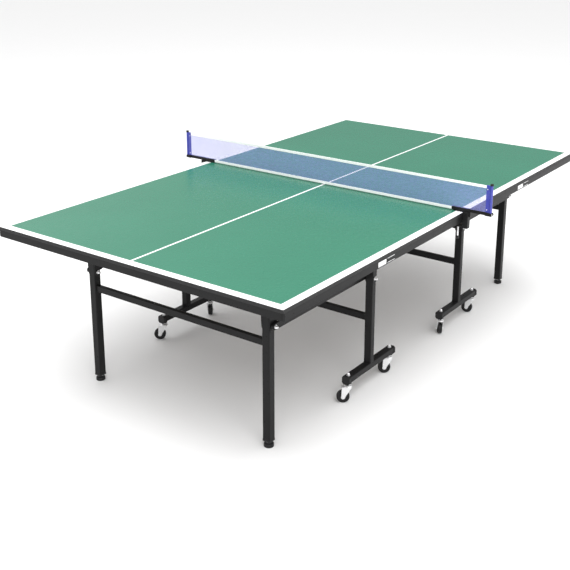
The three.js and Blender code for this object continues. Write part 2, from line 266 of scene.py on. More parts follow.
def from_node(name, node, width=0.5 * MM, merge=0.02 * MM):
    """A new piece shaped like a CAD node, merged, with its flat faces cleaned and its edges rounded."""
    source = frame["nodes"][node]
    piece = bpy.data.objects.new(name, source.data.copy())
    bpy.context.collection.objects.link(piece)
    piece.data.materials.clear()
    with editing(piece):
        bpy.ops.mesh.select_all(action="SELECT")
        bpy.ops.mesh.remove_doubles(threshold=merge)
        bpy.ops.mesh.dissolve_limited(angle_limit=math.radians(0.5))
    if width:
        modified(piece, "BEVEL", width=width, segments=2, limit_method="ANGLE",
                 angle_limit=math.radians(40), use_clamp_overlap=True)
    return piece


def turn_to(axis):
    """The rotation that takes +Z to an axis such as (0, -1, 0)."""
    return Vector((0, 0, 1)).rotation_difference(Vector(axis)).to_matrix().to_4x4()


def at(place, axis=(0, 0, 1)):
    return Matrix.Translation(place) @ turn_to(axis)


def finished(piece, finish, body, stands_for=(), smooth=35):
    """Gives a piece its material, smooth shading, body, slot and the CAD nodes that it stands for."""
    if finish:
        piece.data.materials.clear()
        piece.data.materials.append(material(finish))
    activate(piece)
    bpy.ops.object.shade_smooth_by_angle(angle=math.radians(smooth))
    modified(piece, "WEIGHTED_NORMAL", keep_sharp=True)
    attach(piece, body)
    if stands_for:
        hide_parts(*stands_for)
    return piece


# ---- Materials -----------------------------------------------------------------------

def finish_colour(name, description, default):
    return FloatVectorProperty(
        name=name, description=description, default=default, subtype="COLOR", size=3, min=0, max=1)


class TableFinishes(bpy.types.PropertyGroup):
    """Colours and gloss of the table's finishes."""
    surface: finish_colour("Playing surface", "Green of the two boards", (0.026, 0.174, 0.106))
    surface_gloss: FloatProperty(
        name="Surface roughness", description="Roughness of the painted boards",
        default=0.26, min=0, max=1, subtype="FACTOR")
    line: finish_colour("Lines", "White of the painted lines", (0.90, 0.90, 0.90))
    steel: finish_colour("Steelwork", "Black powder coat", (0.0128, 0.0128, 0.0131))
    plastic: finish_colour("Plastic", "Black mouldings and feet", (0.010, 0.010, 0.0105))
    plating: finish_colour("Plating", "Bright zinc plate", (0.89, 0.89, 0.90))
    net: finish_colour("Net", "Blue net cord", (0.230, 0.245, 0.620))
    post: finish_colour("Net posts", "Blue paint of the net posts", (0.038, 0.046, 0.330))


class Nodes:
    """A material's node tree, with short calls for the nodes that the finishes share."""

    def __init__(self, name, colour, roughness, metallic=0.0):
        self.material = bpy.data.materials.new(name)
        self.material.use_nodes = True
        self.tree = self.material.node_tree
        self.shader = self.tree.nodes["Principled BSDF"]
        self.set(base_color=(*colour, 1), roughness=roughness, metallic=metallic)
        self.coords = self.tree.nodes.new("ShaderNodeTexCoord").outputs["Object"]

    def set(self, **values):
        for key, value in values.items():
            self.shader.inputs[key.replace("_", " ").title().replace("Ior", "IOR")].default_value = value

    def link(self, source, target):
        self.tree.links.new(source, target)

    def noise(self, scale, detail=3.0, stretch=(1, 1, 1), roughness=0.55):
        mapping = self.tree.nodes.new("ShaderNodeMapping")
        mapping.inputs["Scale"].default_value = stretch
        self.link(self.coords, mapping.inputs["Vector"])
        node = self.tree.nodes.new("ShaderNodeTexNoise")
        node.inputs["Scale"].default_value = scale
        node.inputs["Detail"].default_value = detail
        node.inputs["Roughness"].default_value = roughness
        self.link(mapping.outputs["Vector"], node.inputs["Vector"])
        return node.outputs["Fac"]

    def wave(self, scale, direction):
        node = self.tree.nodes.new("ShaderNodeTexWave")
        node.inputs["Scale"].default_value = scale
        node.bands_direction = direction
        self.link(self.coords, node.inputs["Vector"])
        return node.outputs["Fac"]

    def spread(self, value, low, high, start=0.0, end=1.0):
        node = self.tree.nodes.new("ShaderNodeMapRange")
        for key, number in (("From Min", start), ("From Max", end), ("To Min", low), ("To Max", high)):
            node.inputs[key].default_value = number
        self.link(value, node.inputs["Value"])
        return node.outputs["Result"]

    def math(self, operation, a, b=None):
        node = self.tree.nodes.new("ShaderNodeMath")
        node.operation = operation
        for socket, value in zip(node.inputs, (a, b)):
            if isinstance(value, (int, float)):
                socket.default_value = value
            elif value is not None:
                self.link(value, socket)
        return node.outputs["Value"]

    def blend(self, share, a, b):
        """Colour a where share is 0 and b where it is 1; each is a colour or a socket."""
        node = self.tree.nodes.new("ShaderNodeMix")
        node.data_type = "RGBA"
        self.link(share, node.inputs["Factor"])
        for key, value in ((6, a), (7, b)):
            if isinstance(value, tuple):
                node.inputs[key].default_value = (*value[:3], 1)
            else:
                self.link(value, node.inputs[key])
        return node.outputs[2]

    def parts(self, socket):
        node = self.tree.nodes.new("ShaderNodeSeparateXYZ")
        self.link(socket, node.inputs[0])
        return node.outputs

    def bump(self, height, strength, distance=0.2 * MM):
        node = self.tree.nodes.new("ShaderNodeBump")
        node.inputs["Strength"].default_value = strength
        node.inputs["Distance"].default_value = distance
        self.link(height, node.inputs["Height"])
        self.link(node.outputs["Normal"], self.shader.inputs["Normal"])

    def colour(self, socket):
        self.link(socket, self.shader.inputs["Base Color"])

    def mottle(self, noise, colour, dark, light, start=0.3, end=0.7):
        """A base colour that wanders between a darker and a lighter tint."""
        share = self.spread(noise, 0, 1, start, end)
        self.colour(self.blend(share, tinted(colour, dark), tinted(colour, light)))

    def rough(self, noise, low, high):
        """A roughness that wanders between two values."""
        self.link(self.spread(noise, low, high, 0.3, 0.7), self.shader.inputs["Roughness"])


def tinted(colour, share):
    """The colour made lighter or darker by a share."""
    return tuple(min(1.0, c * share) for c in colour)


def court_paint(name, look):
    """Satin green paint on top with white lines, and black paint on the sides and underneath."""
    sizes = bpy.context.scene.table_sizes
    n = Nodes(name, look.surface, look.surface_gloss)
    n.set(specular_ior_level=0.29)
    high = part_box("far_tabletop")[1]
    x, y, z = n.parts(n.coords)
    soft = 0.25 * MM
    from_end = n.math("SUBTRACT", high.x - sizes.border_line, n.math("ABSOLUTE", x))
    from_side = n.math("SUBTRACT", high.y - sizes.border_line, n.math("ABSOLUTE", y))
    centre = n.math("SUBTRACT", n.math("ABSOLUTE", y), sizes.centre_line / 2)
    nearest = n.math("MINIMUM", n.math("MINIMUM", from_end, from_side), centre)
    line = n.spread(nearest, 1, 0, -soft, soft)
    speck = n.noise(900, 2)
    cloud = n.noise(2.2, 4)
    green = n.blend(n.spread(cloud, 0, 1, 0.3, 0.7), tinted(look.surface, 0.96), tinted(look.surface, 1.04))
    green = n.blend(n.spread(speck, 0, 0.3, 0.5, 0.8), green, tinted(look.surface, 1.15))
    white = n.blend(n.spread(speck, 0, 0.5, 0.5, 0.8), tuple(look.line), tinted(look.line, 0.94))
    painted = n.blend(line, green, white)
    on_top = n.spread(z, 0, 1, high.z - 0.6 * MM, high.z - 0.3 * MM)
    n.colour(n.blend(on_top, tuple(look.steel), painted))
    n.rough(n.noise(30, 4), look.surface_gloss - 0.03, look.surface_gloss + 0.05)
    height = n.math("ADD", n.math("MULTIPLY", n.noise(520, 3), 0.5), n.math("MULTIPLY", line, 0.35))
    n.bump(height, 0.02, 0.1 * MM)


def powder_coat(name, look):
    """Satin black powder coat with its fine orange peel."""
    n = Nodes(name, look.steel, 0.30)
    n.set(specular_ior_level=0.11)
    peel = n.noise(1400, 2)
    n.mottle(n.noise(9, 5), look.steel, 0.94, 1.08, 0.35, 0.75)
    n.rough(n.noise(60, 4), 0.27, 0.34)
    n.bump(peel, 0.04, 0.12 * MM)


def moulded_plastic(name, look):
    """Black moulded plastic with its fine grain."""
    n = Nodes(name, look.plastic, 0.5)
    n.set(specular_ior_level=0.3)
    grain = n.noise(2200, 2)
    n.mottle(n.noise(40, 4), look.plastic, 0.8, 1.35)
    n.rough(n.noise(110, 3), 0.42, 0.58)
    n.bump(grain, 0.3, 0.12 * MM)


def caster_rubber(name, look):
    """Hard black tread, scuffed a little paler."""
    n = Nodes(name, look.plastic, 0.5)
    n.set(specular_ior_level=0.3)
    scuff = n.noise(260, 5)
    n.mottle(scuff, look.plastic, 0.9, 2.0, 0.45, 0.8)
    n.rough(scuff, 0.38, 0.62)
    n.bump(scuff, 0.25, 0.1 * MM)


def zinc_plate(name, look):
    """Bright zinc with a faint brushed tone."""
    n = Nodes(name, look.plating, 0.32, 0.7)
    n.mottle(n.noise(180, 4), look.plating, 0.97, 1.03, 0.35, 0.7)
    n.rough(n.noise(420, 3, (1, 1, 0.15)), 0.27, 0.38)
    n.bump(n.noise(900, 2), 0.02, 0.1 * MM)


def fibre_board(name, look):
    """The underside of the boards: pressed fibre sealed with a thin dark wash."""
    n = Nodes(name, (0.12, 0.10, 0.08), 0.7)
    fleck = n.noise(420, 4, (1, 3, 1))
    n.colour(n.blend(n.spread(fleck, 0, 1, 0.35, 0.7), (0.10, 0.082, 0.066), (0.15, 0.128, 0.105)))
    n.bump(fleck, 0.3, 0.2 * MM)


def net_cord(name, look):
    """Twisted blue nylon."""
    n = Nodes(name, look.net, 0.65)
    twist = n.wave(700, "DIAGONAL")
    n.mottle(n.noise(300, 3), look.net, 0.85, 1.15)
    n.bump(twist, 0.4, 0.1 * MM)


def white_tape(name, look):
    """Woven white binding."""
    n = Nodes(name, look.line, 0.75)
    weave = n.math("MULTIPLY", n.wave(420, "Y"), n.wave(420, "Z"))
    n.mottle(weave, look.line, 0.93, 1, 0, 1)
    n.set(sheen_weight=0.15)
    n.bump(weave, 0.5, 0.15 * MM)


def post_paint(name, look):
    """Glossy blue paint over the steel net posts."""
    n = Nodes(name, look.post, 0.3)
    n.set(coat_weight=0.35, coat_roughness=0.12)
    n.mottle(n.noise(50, 4), look.post, 0.9, 1.12)
    n.rough(n.noise(130, 3), 0.25, 0.38)
    n.bump(n.noise(1100, 2), 0.12, 0.1 * MM)


def sticker(name, look):
    """Plain white printed foil."""
    n = Nodes(name, look.line, 0.4)
    n.mottle(n.noise(200, 3), look.line, 0.93, 1)
    n.bump(n.noise(700, 2), 0.1, 0.05 * MM)


RECIPES = {
    "court_paint": court_paint, "powder_coat": powder_coat, "moulded_plastic": moulded_plastic,
    "caster_rubber": caster_rubber, "zinc_plate": zinc_plate, "fibre_board": fibre_board,
    "net_cord": net_cord, "white_tape": white_tape, "post_paint": post_paint, "sticker": sticker,
}


def material(name):
    """The named finish, made the first time that it is asked for."""
    if name not in bpy.data.materials:
        RECIPES[name](name, bpy.context.scene.table_finishes)
    return bpy.data.materials[name]


# ---- Sizes ---------------------------------------------------------------------------

def length(name, description, default):
    return FloatProperty(name=name, description=description, default=default, unit="LENGTH")


class TableSizes(bpy.types.PropertyGroup):
    """Sizes that shape the visible pieces."""
    border_line: length("Border line", "Width of the painted edge lines", 0.036)
    centre_line: length("Centre line", "Width of the painted centre line", 0.010)
    board_corner: length("Board corner", "Radius of the boards' corners", 0.003)
    apron_corner: length("Apron corner", "Radius of the apron's folded corners", 0.011)
    tape: length("Net tape", "Height of the white tapes", 0.0125)
    net_pitch: length("Net pitch", "Distance between the net's cords", 0.005)
    net_thread: length("Net thread", "Width of the net's cords", 0.00113)
    wheel_segments: IntProperty(
        name="Wheel segments", description="Steps round a caster wheel", default=48, min=16, max=96)


# ---- Boards and aprons ---------------------------------------------------------------

def playing_board(half, sizes):
    """One board with eased edges, its fibre underside and a black edge band."""
    node = f"{half}_tabletop"
    low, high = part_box(node)
    board = block(f"{half}_playing_board", low, high)
    round_edges(board, sizes.board_corner, 4, along(2))
    round_edges(board, 0.7 * MM, 2, lambda e: centre_of(e).z > high.z - 1e-5)
    board.data.materials.append(material("court_paint"))
    board.data.materials.append(material("fibre_board"))
    with editing(board):
        pick(board, "faces", lambda f: f.normal.z < -0.9)
        board.active_material_index = 1
        bpy.ops.object.material_slot_assign()
    finished(board, None, f"{half}_top", [node])
    proud = Vector((0.3, 0.3, 0)) * MM
    band_low = low - proud + Vector((0, 0, 0.4 * MM))
    band = block(f"{half}_edge_band", band_low, high + proud - Vector((0, 0, 1.6 * MM)))
    round_edges(band, sizes.board_corner, 4, along(2))
    with editing(band):
        pick(band, "faces", lambda f: abs(f.normal.z) > 0.9)
        bpy.ops.mesh.delete(type="FACE")
    modified(band, "SOLIDIFY", thickness=1 * MM, offset=-1)
    modified(band, "BEVEL", width=0.25 * MM, segments=2, limit_method="ANGLE", angle_limit=math.radians(50))
    finished(band, "moulded_plastic", f"{half}_top")


def pan_screw():
    """A pan-head screw's head with its cross recess, standing on z = 0."""
    head = turned("pan_screw", mm((4.2, -0.3), (4.2, 0.5), (3.7, 1.5),
                                (2.6, 2.1), (1.4, 2.3)), 14)
    with editing(head):
        pick(head, "faces", lambda f: f.normal.z > 0.9 and f.calc_center_median().z > 2.2 * MM)
        bpy.ops.mesh.inset(thickness=0.4 * MM, depth=-0.9 * MM)
    return head


def apron(half, side, sizes, screw):
    """The folded steel channel round three sides, with the screws that hold it to the board."""
    node = f"{half}_apron_frame"
    low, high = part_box(node)
    piece = from_node(f"{half}_apron", node, 0)
    outer_x = low.x if side < 0 else high.x

    def folded_corner(edge):
        c = centre_of(edge)
        return along(2)(edge) and abs(c.x - outer_x) < 1e-5 and abs(abs(c.y) - high.y) < 1e-5
    round_edges(piece, sizes.apron_corner, 5, folded_corner)
    modified(piece, "BEVEL", width=0.6 * MM, segments=2, limit_method="ANGLE", angle_limit=math.radians(50))
    finished(piece, "powder_coat", f"{half}_top", [node])
    first, step, count = SIDE_SCREWS
    places = [(side * (first + step * i), s * (high.y - SCREW_INSET)) for s in (-1, 1) for i in range(count)]
    first, step, count = END_SCREWS
    places += [(outer_x - side * SCREW_INSET, first + step * i) for i in range(count)]
    heads = [copy_of(screw, f"head{i}", at((x, y, low.z), (0, 0, -1))) for i, (x, y) in enumerate(places)]
    finished(joined(f"{half}_apron_screws", *heads), "zinc_plate", f"{half}_top")


class TABLE_OT_boards(bpy.types.Operator):
    """Models the two playing boards, their edge bands, aprons and screws"""
    bl_idname = "table.boards"
    bl_label = "Playing Boards"

    def execute(self, context):
        screw = pan_screw()
        for half, side in HALVES:
            playing_board(half, context.scene.table_sizes)
            apron(half, side, context.scene.table_sizes, screw)
        discard(screw)
        return {"FINISHED"}


# ---- Fasteners -----------------------------------------------------------------------

def dome_nut():
    """A washer, hexagon and dome in bright plate, standing on z = 0."""
    washer = turned("washer", mm((8.3, 0), (8.3, 1.1), (7.9, 1.5)), 24)
    hexagon = turned("hexagon", [
        (NUT_R * 0.94, 1.5 * MM), (NUT_R, 2.1 * MM), (NUT_R, 7 * MM), (NUT_R * 0.9, 8 * MM)], 6)
    round_edges(hexagon, 0.5 * MM, 2)
    r, base = 5.7 * MM, 7.6 * MM
    angles = [math.radians(a) for a in (0, 18, 36, 54, 70, 82)]
    steps = [(r * math.cos(a), base + r * math.sin(a)) for a in angles]
    return joined("dome_nut", hexagon, washer, turned("dome", steps, 20))


def bolt_head():
    """A hexagon head with its washer in black, standing on z = 0."""
    washer = turned("washer", mm((8, 0), (8, 1.1), (7.6, 1.4)), 24)
    head = turned("head", mm((6.6, 1.4), (6.6, 5), (5.8, 5.8)), 6)
    return joined("bolt_head", round_edges(head, 0.5 * MM, 2), washer)


def pivot_bolt(name, x, y, reach, body):
    """A pivot bolt with chamfered ends and a push-on cap at each end."""
    r = PIVOT_R
    shaft = turned(name, [(r - 1 * MM, 0), (r, 1 * MM), (r, 2 * reach - 1 * MM), (r - 1 * MM, 2 * reach)], 28,
                   at((x, y - reach, PIVOT_Z), (0, 1, 0)))
    outline = [(r + 1.6 * MM, 0), (r + 2 * MM, 0.5 * MM), (r + 2 * MM, 1.6 * MM), (r, 2.6 * MM)]
    caps = [turned("cap", outline, 24, at((x, y + sign * (reach - 3 * MM), PIVOT_Z), (0, sign, 0)))
            for sign in (-1, 1)]
    finished(joined(name, shaft, *caps), "zinc_plate", body)


def link_spacer(x, s, inner, outer):
    """The washer between a bracket and the link; inner and outer are measured from the table's middle."""
    long = outer - inner - 0.8 * MM
    r = 7.6 * MM
    outline = [(r - 0.5 * MM, 0), (r, 0.4 * MM), (r, long - 0.4 * MM), (r - 0.5 * MM, long)]
    return turned("spacer", outline, 24, at((x, s * (inner + 0.4 * MM), LINK_BOLT_Z), (0, s, 0)))


# ---- End legs ------------------------------------------------------------------------

def weld(name, low, high, grow=1.6 * MM, thick=2.4 * MM, axis=1):
    """A fillet weld as a low rounded collar; low and high bound the end face of the tube inside it."""
    spread = Vector((grow, grow, grow))
    spread[axis] = thick / 2
    return soft_block(name, Vector(low) - spread, Vector(high) + spread, 1.1 * MM, 3)


def crossbar(node, body, corner=2.5 * MM):
    """A cross tube between two uprights with a weld at each end."""
    low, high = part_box(node)
    bar = tube(f"{node}_tube", low, high, 1, corner, depth=20 * MM)
    welds = []
    for i, y in enumerate((low.y, high.y)):
        welds.append(weld(f"weld{i}", (low.x, y, low.z), (high.x, y, high.z)))
    finished(joined(f"{node}_bar", bar, *welds), "powder_coat", body, [node])


def end_leg(half, at_name, s, head, nut):
    body = f"{half}_end_legs"
    foot_low, foot_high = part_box(f"{at_name}_leveling_foot")
    leg_low, leg_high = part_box(f"{at_name}_outer_leg")
    centre = middle(foot_low, foot_high)
    x, y, r = centre.x, centre.y, LEG_TUBE / 2
    collar_top = leg_low.z + 8 * MM
    leg = tube(f"{at_name}_leg_tube", (x - r, y - r, collar_top), (x + r, y + r, leg_high.z), 2)
    finished(leg, "powder_coat", body, [f"{at_name}_outer_leg"])
    cap_r = r + 1 * MM
    cap = block(f"{at_name}_leg_cap", (x - cap_r, y - cap_r, leg_low.z), (x + cap_r, y + cap_r, collar_top))
    round_edges(cap, 4.5 * MM, 4, along(2))
    round_edges(cap, 1.2 * MM, 3, lambda e: abs(e.verts[0].co.z - e.verts[1].co.z) < 1e-6)
    finished(cap, "moulded_plastic", body)
    head_face = leg_high.y - y - 5 * MM
    nut_face = y - leg_low.y - 6 * MM
    nut_end, head_end = (x, y - nut_face, LINK_BOLT_Z), (x, y + head_face, LINK_BOLT_Z)
    outline = [(3.6 * MM, 0), (4 * MM, 0.4 * MM), (4 * MM, nut_face + head_face)]
    shank = turned(f"{at_name}_link_bolt", outline, 20, at(nut_end, (0, 1, 0)))
    spacer = link_spacer(x, s, abs(y) + BRACKET_FACE["leg"], LINK_Y[0])
    finished(joined(f"{at_name}_link_bolt", shank, spacer), "zinc_plate", body)
    finished(copy_of(nut, f"{at_name}_link_nut", at(nut_end, (0, -1, 0))), "zinc_plate", body)
    finished(copy_of(head, f"{at_name}_link_head", at(head_end, (0, 1, 0))), "moulded_plastic", body)
    pivot_bolt(f"{at_name}_leg_pivot", x, y, BRACKET_FACE["leg"] + 4 * MM, body)


def leveling_foot(at_name):
    """The screw-in foot: a ribbed disc, a lock nut and its threaded stem."""
    low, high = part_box(f"{at_name}_leveling_foot")
    c = middle(low, high)
    r = (high.x - low.x) / 2
    place = at((c.x, c.y, 0))
    disc = turned("disc", [
        (r - 3 * MM, 0), (r - 1.2 * MM, 0.3 * MM), (r - 0.2 * MM, 1.5 * MM), (r, 3 * MM), (r, 5.4 * MM),
        (r - 0.9 * MM, 6 * MM), (r - 0.9 * MM, 7 * MM), (r, 7.6 * MM), (r, 12.4 * MM),
        (r - 0.8 * MM, 14 * MM), (r - 3 * MM, 15.2 * MM), (r - 9 * MM, 16 * MM),
        (8 * MM, 16.2 * MM)], 48, place)
    finished(disc, "moulded_plastic", f"{at_name}_foot", [f"{at_name}_leveling_foot"])
    disc.name = disc.data.name = f"{at_name}_foot_disc"
    neck = turned(f"{at_name}_foot_neck", mm(
        (13.4, 15.8), (12.6, 17), (12.2, 19.6), (12.8, 21.4)), 40, place)
    finished(neck, "moulded_plastic", f"{at_name}_foot")
    ring = turned("ring", mm((12.4, 21.2), (12.9, 21.6), (12.9, 22.6), (12.4, 23)),
                  40, place)
    nut = round_edges(turned("nut", mm((9, 22.8), (9, 24.6), (8.4, 25)), 6, place), 0.4 * MM)
    thread = mm((4.3, 24.8))
    for i in range(16):
        thread += [(5 * MM, (25.4 + i * 1.6) * MM), (4.3 * MM, (26.2 + i * 1.6) * MM)]
    stem = turned("stem", thread, 20, place)
    finished(joined(f"{at_name}_foot_stem", ring, nut, stem), "zinc_plate", f"{at_name}_foot")


class TABLE_OT_end_legs(bpy.types.Operator):
    """Models the folding end legs, their crossbars, bolts and levelling feet"""
    bl_idname = "table.end_legs"
    bl_label = "End Legs"

    def execute(self, context):
        head, nut = bolt_head(), dome_nut()
        for half, side in HALVES:
            crossbar(f"{half}_outer_crossbar", f"{half}_end_legs")
        for half, side, hand, s, name in corner_names():
            end_leg(half, name, s, head, nut)
            leveling_foot(name)
        discard(head, nut)
        return {"FINISHED"}


# ---- Wheeled undercarriage -----------------------------------------------------------

def beam_cap(name, x, sign, low, high):
    """An eight-sided plastic cap pushed on the end of a wheel beam."""
    grow = 1.8 * MM
    inner, outer = x - sign * 9 * MM, x + sign * 3 * MM
    cap = block(name, (inner, low.y - grow, low.z - 7 * MM), (outer, high.y + grow, high.z + grow))
    round_edges(cap, 7.5 * MM, 1, along(0))
    return round_edges(cap, 1.4 * MM, 3, lambda e: abs(centre_of(e).x - outer) < 1e-5)


def wheel_frame_side(half, side, at_name, s, nut, head):
    body = f"{half}_trolley"
    beam_node, post_node = f"{at_name}_wheel_beam", f"{at_name}_wheel_post"
    low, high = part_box(beam_node)
    low.z = high.z - BEAM_TUBE[1]
    c = middle(low, high)
    beam = tube(f"{at_name}_beam_tube", low, high, 0)
    bosses = []
    for i, sign in enumerate((-1, 1)):
        x = c.x + sign * CASTER_STEM
        bosses.append(turned("boss", mm(
            (13.4, 90), (14.8, 90.8), (15.2, 92), (15.2, 96),
            (14.4, 98.4)), 32, at((x, c.y, 0))))
    finished(joined(f"{at_name}_beam", beam, *bosses), "powder_coat", body, [beam_node])
    for sign in (-1, 1):
        end = "outer" if sign == side else "inner"
        cap = beam_cap(f"{at_name}_{end}_beam_cap", c.x + sign * (high.x - low.x) / 2, sign, low, high)
        finished(cap, "moulded_plastic", body)
        stem_nut = copy_of(nut, f"{at_name}_{end}_stem_nut", at((c.x + sign * CASTER_STEM, c.y, high.z)))
        finished(stem_nut, "zinc_plate", body)
    post_low, post_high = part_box(post_node)
    dx, dy = POST_TUBE[0] / 2, POST_TUBE[1] / 2
    x = middle(post_low, post_high).x
    post = tube(f"{at_name}_post_tube", (x - dx, c.y - dy, post_low.z), (x + dx, c.y + dy, post_high.z), 2)
    base = weld("base_weld", (x - dx, c.y - dy + 2 * MM, high.z), (x + dx, c.y + dy - 2 * MM, high.z), axis=2)
    finished(joined(f"{at_name}_post", post, base), "powder_coat", body, [post_node])
    face = c.y - post_low.y - 6 * MM
    back = post_high.y - c.y - 5 * MM
    nut_end = (x, c.y - face, LINK_BOLT_Z)
    finished(copy_of(nut, f"{at_name}_post_nut", at(nut_end, (0, -1, 0))), "zinc_plate", body)
    shank = turned("shank", [(4 * MM, 0), (4 * MM, face + back)], 20, at(nut_end, (0, 1, 0)))
    far_head = copy_of(head, "far_head", at((x, c.y + back, LINK_BOLT_Z), (0, 1, 0)))
    spacer = link_spacer(x, s, LINK_Y[1], abs(c.y) - BRACKET_FACE["post"])
    finished(joined(f"{at_name}_post_bolt", far_head, shank, spacer), "moulded_plastic", body)
    pivot_bolt(f"{at_name}_post_pivot", x, c.y, BRACKET_FACE["post"] + 4 * MM, body)


def eye_rim(place):
    """The low rim of a bush round one of a link's eyes."""
    deselect()
    bpy.ops.mesh.primitive_torus_add(
        major_radius=7 * MM, minor_radius=1.8 * MM, major_segments=36, minor_segments=10)
    rim = settle(bpy.context.object, "rim")
    with editing(rim):
        bpy.ops.mesh.select_all(action="SELECT")
        bpy.ops.transform.resize(value=(1, 1, 0.13))
    rim.matrix_world = place
    return settle(rim, "rim")


def leg_link(at_name):
    """The bar from a wheel post to its leg, with a bush's rim round the eye at each end."""
    node = f"{at_name}_leg_link"
    body = f"{at_name}_link"
    low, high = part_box(node)
    finished(from_node(f"{node}_bar", node, 1.6 * MM), "powder_coat", body, [node])
    reach = (high.z - low.z) / 2
    rims = []
    for x in (low.x + reach, high.x - reach):
        for y, sign in ((low.y, -1), (high.y, 1)):
            rims.append(eye_rim(at((x, y, LINK_BOLT_Z), (0, sign, 0))))
    finished(joined(f"{node}_rims", *rims), "moulded_plastic", body)


class TABLE_OT_wheel_frames(bpy.types.Operator):
    """Models the two wheeled frames: posts, beams, crossbars, caps, nuts and the leg links"""
    bl_idname = "table.wheel_frames"
    bl_label = "Wheeled Frames"

    def execute(self, context):
        nut, head = dome_nut(), bolt_head()
        for half, side in HALVES:
            crossbar(f"{half}_undercarriage_crossbar", f"{half}_trolley")
        for half, side, hand, s, name in corner_names():
            wheel_frame_side(half, side, name, s, nut, head)
            leg_link(name)
        discard(nut, head)
        return {"FINISHED"}


# ---- Brackets ------------------------------------------------------------------------

def bracket(node, body, screw, plate):
    """A folded steel bracket shaped as its CAD node, with the screws through its top plate."""
    low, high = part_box(node)
    finished(from_node(f"{node}_plates", node, 0.4 * MM), "powder_coat", body, [node])
    inset = 7 * MM
    seat = high.z - plate
    heads = []
    for y in (low.y + 4.2 * MM, high.y - 4.2 * MM):
        for x in (low.x + inset, high.x - inset):
            heads.append(copy_of(screw, "head", at((x, y, seat), (0, 0, -1)) @ Matrix.Scale(0.8, 4)))
    finished(joined(f"{node}_screws", *heads), "zinc_plate", body)


class TABLE_OT_brackets(bpy.types.Operator):
    """Models the brackets that carry the legs and posts under the boards"""
    bl_idname = "table.brackets"
    bl_label = "Brackets"

    def execute(self, context):
        screw = pan_screw()
        for half, side, hand, s, name in corner_names():
            for kind in ("leg", "post"):
                bracket(f"{name}_{kind}_bracket", f"{half}_top", screw, BRACKET_PLATE[kind])
        discard(screw)
        return {"FINISHED"}


# ---- Casters -------------------------------------------------------------------------

FORK_TRAIL = 22 * MM
AXLE_Z = 29 * MM


def fork_cheek(y):
    """One pressed cheek: a round hub drawn up and out to the crown."""
    deselect()
    bpy.ops.mesh.primitive_cylinder_add(
        vertices=40, radius=9.5 * MM, depth=2.2 * MM, location=(FORK_TRAIL, y, AXLE_Z),
        rotation=(math.pi / 2, 0, 0))
    cheek = settle(bpy.context.object, "cheek")
    with editing(cheek):
        pick(cheek, "verts", lambda v: v.co.z > AXLE_Z + 0.1 * MM)
        bpy.ops.transform.resize(value=(2.35, 1, 0.15), center_override=(FORK_TRAIL, y, AXLE_Z))
        bpy.ops.transform.translate(value=(-FORK_TRAIL + 6 * MM, 0, 47 * MM))
        pick(cheek, "verts", lambda v: abs(v.co.z - AXLE_Z) < 0.1 * MM)
        bpy.ops.transform.translate(value=(-1.5 * MM, 0, 4 * MM))
    return round_edges(cheek, 0.5 * MM, 2, lambda e: e.calc_face_angle(0) > 1.2)


def caster_fork():
    """A zinc fork that trails towards +X from its kingpin at the origin."""
    crown = turned("crown", mm(
        (16, 75.2), (17.4, 76), (17.4, 78.4), (16, 80), (14.8, 81),
        (14.8, 82.6), (10, 82.8), (10, 86), (14.2, 86.2), (14.8, 87),
        (14.8, 88.8), (14.2, 89.6)), 36)
    plate = block("plate", (-12 * MM, -14.6 * MM, 74.6 * MM), (23 * MM, 14.6 * MM, 77.4 * MM))
    round_edges(plate, 5 * MM, 4, along(2))
    round_edges(plate, 0.8 * MM, 2, lambda e: e.calc_face_angle(0) > 1.2)
    cheeks = [fork_cheek(s * 13.6 * MM) for s in (-1, 1)]
    bolt = [at((FORK_TRAIL, s * 14.5 * MM, AXLE_Z), (0, s, 0)) for s in (-1, 1)]
    head = turned("head", mm((6, 0), (6, 3), (5.2, 3.6)), 6, bolt[0])
    nut = turned("nut", mm((5.6, 0), (5.6, 3.4), (4.6, 4.2), (3.4, 4.4)), 6, bolt[1])
    axle = turned("axle", mm((3, 0), (3, 29)), 16, at((FORK_TRAIL, -14.5 * MM, AXLE_Z), (0, 1, 0)))
    ends = [round_edges(end, 0.4 * MM) for end in (head, nut)]
    return joined("fork", crown, plate, *cheeks, *ends, axle)


def caster_wheel(segments):
    """A wheel about Z: rounded tread, dished sides and a raised hub."""
    half = mm((29, 5.6), (28.6, 7.6), (27.4, 9.6), (25.6, 10.6), (23.6, 10.6), (22.4, 9.6), (21.8, 7.8),
              (12.2, 7.0), (11.4, 8.4), (10.6, 10.8), (9.6, 11.2), (4, 11.2))
    rings = [(r, -z) for r, z in reversed(half)] + half
    return turned("wheel", rings, segments)


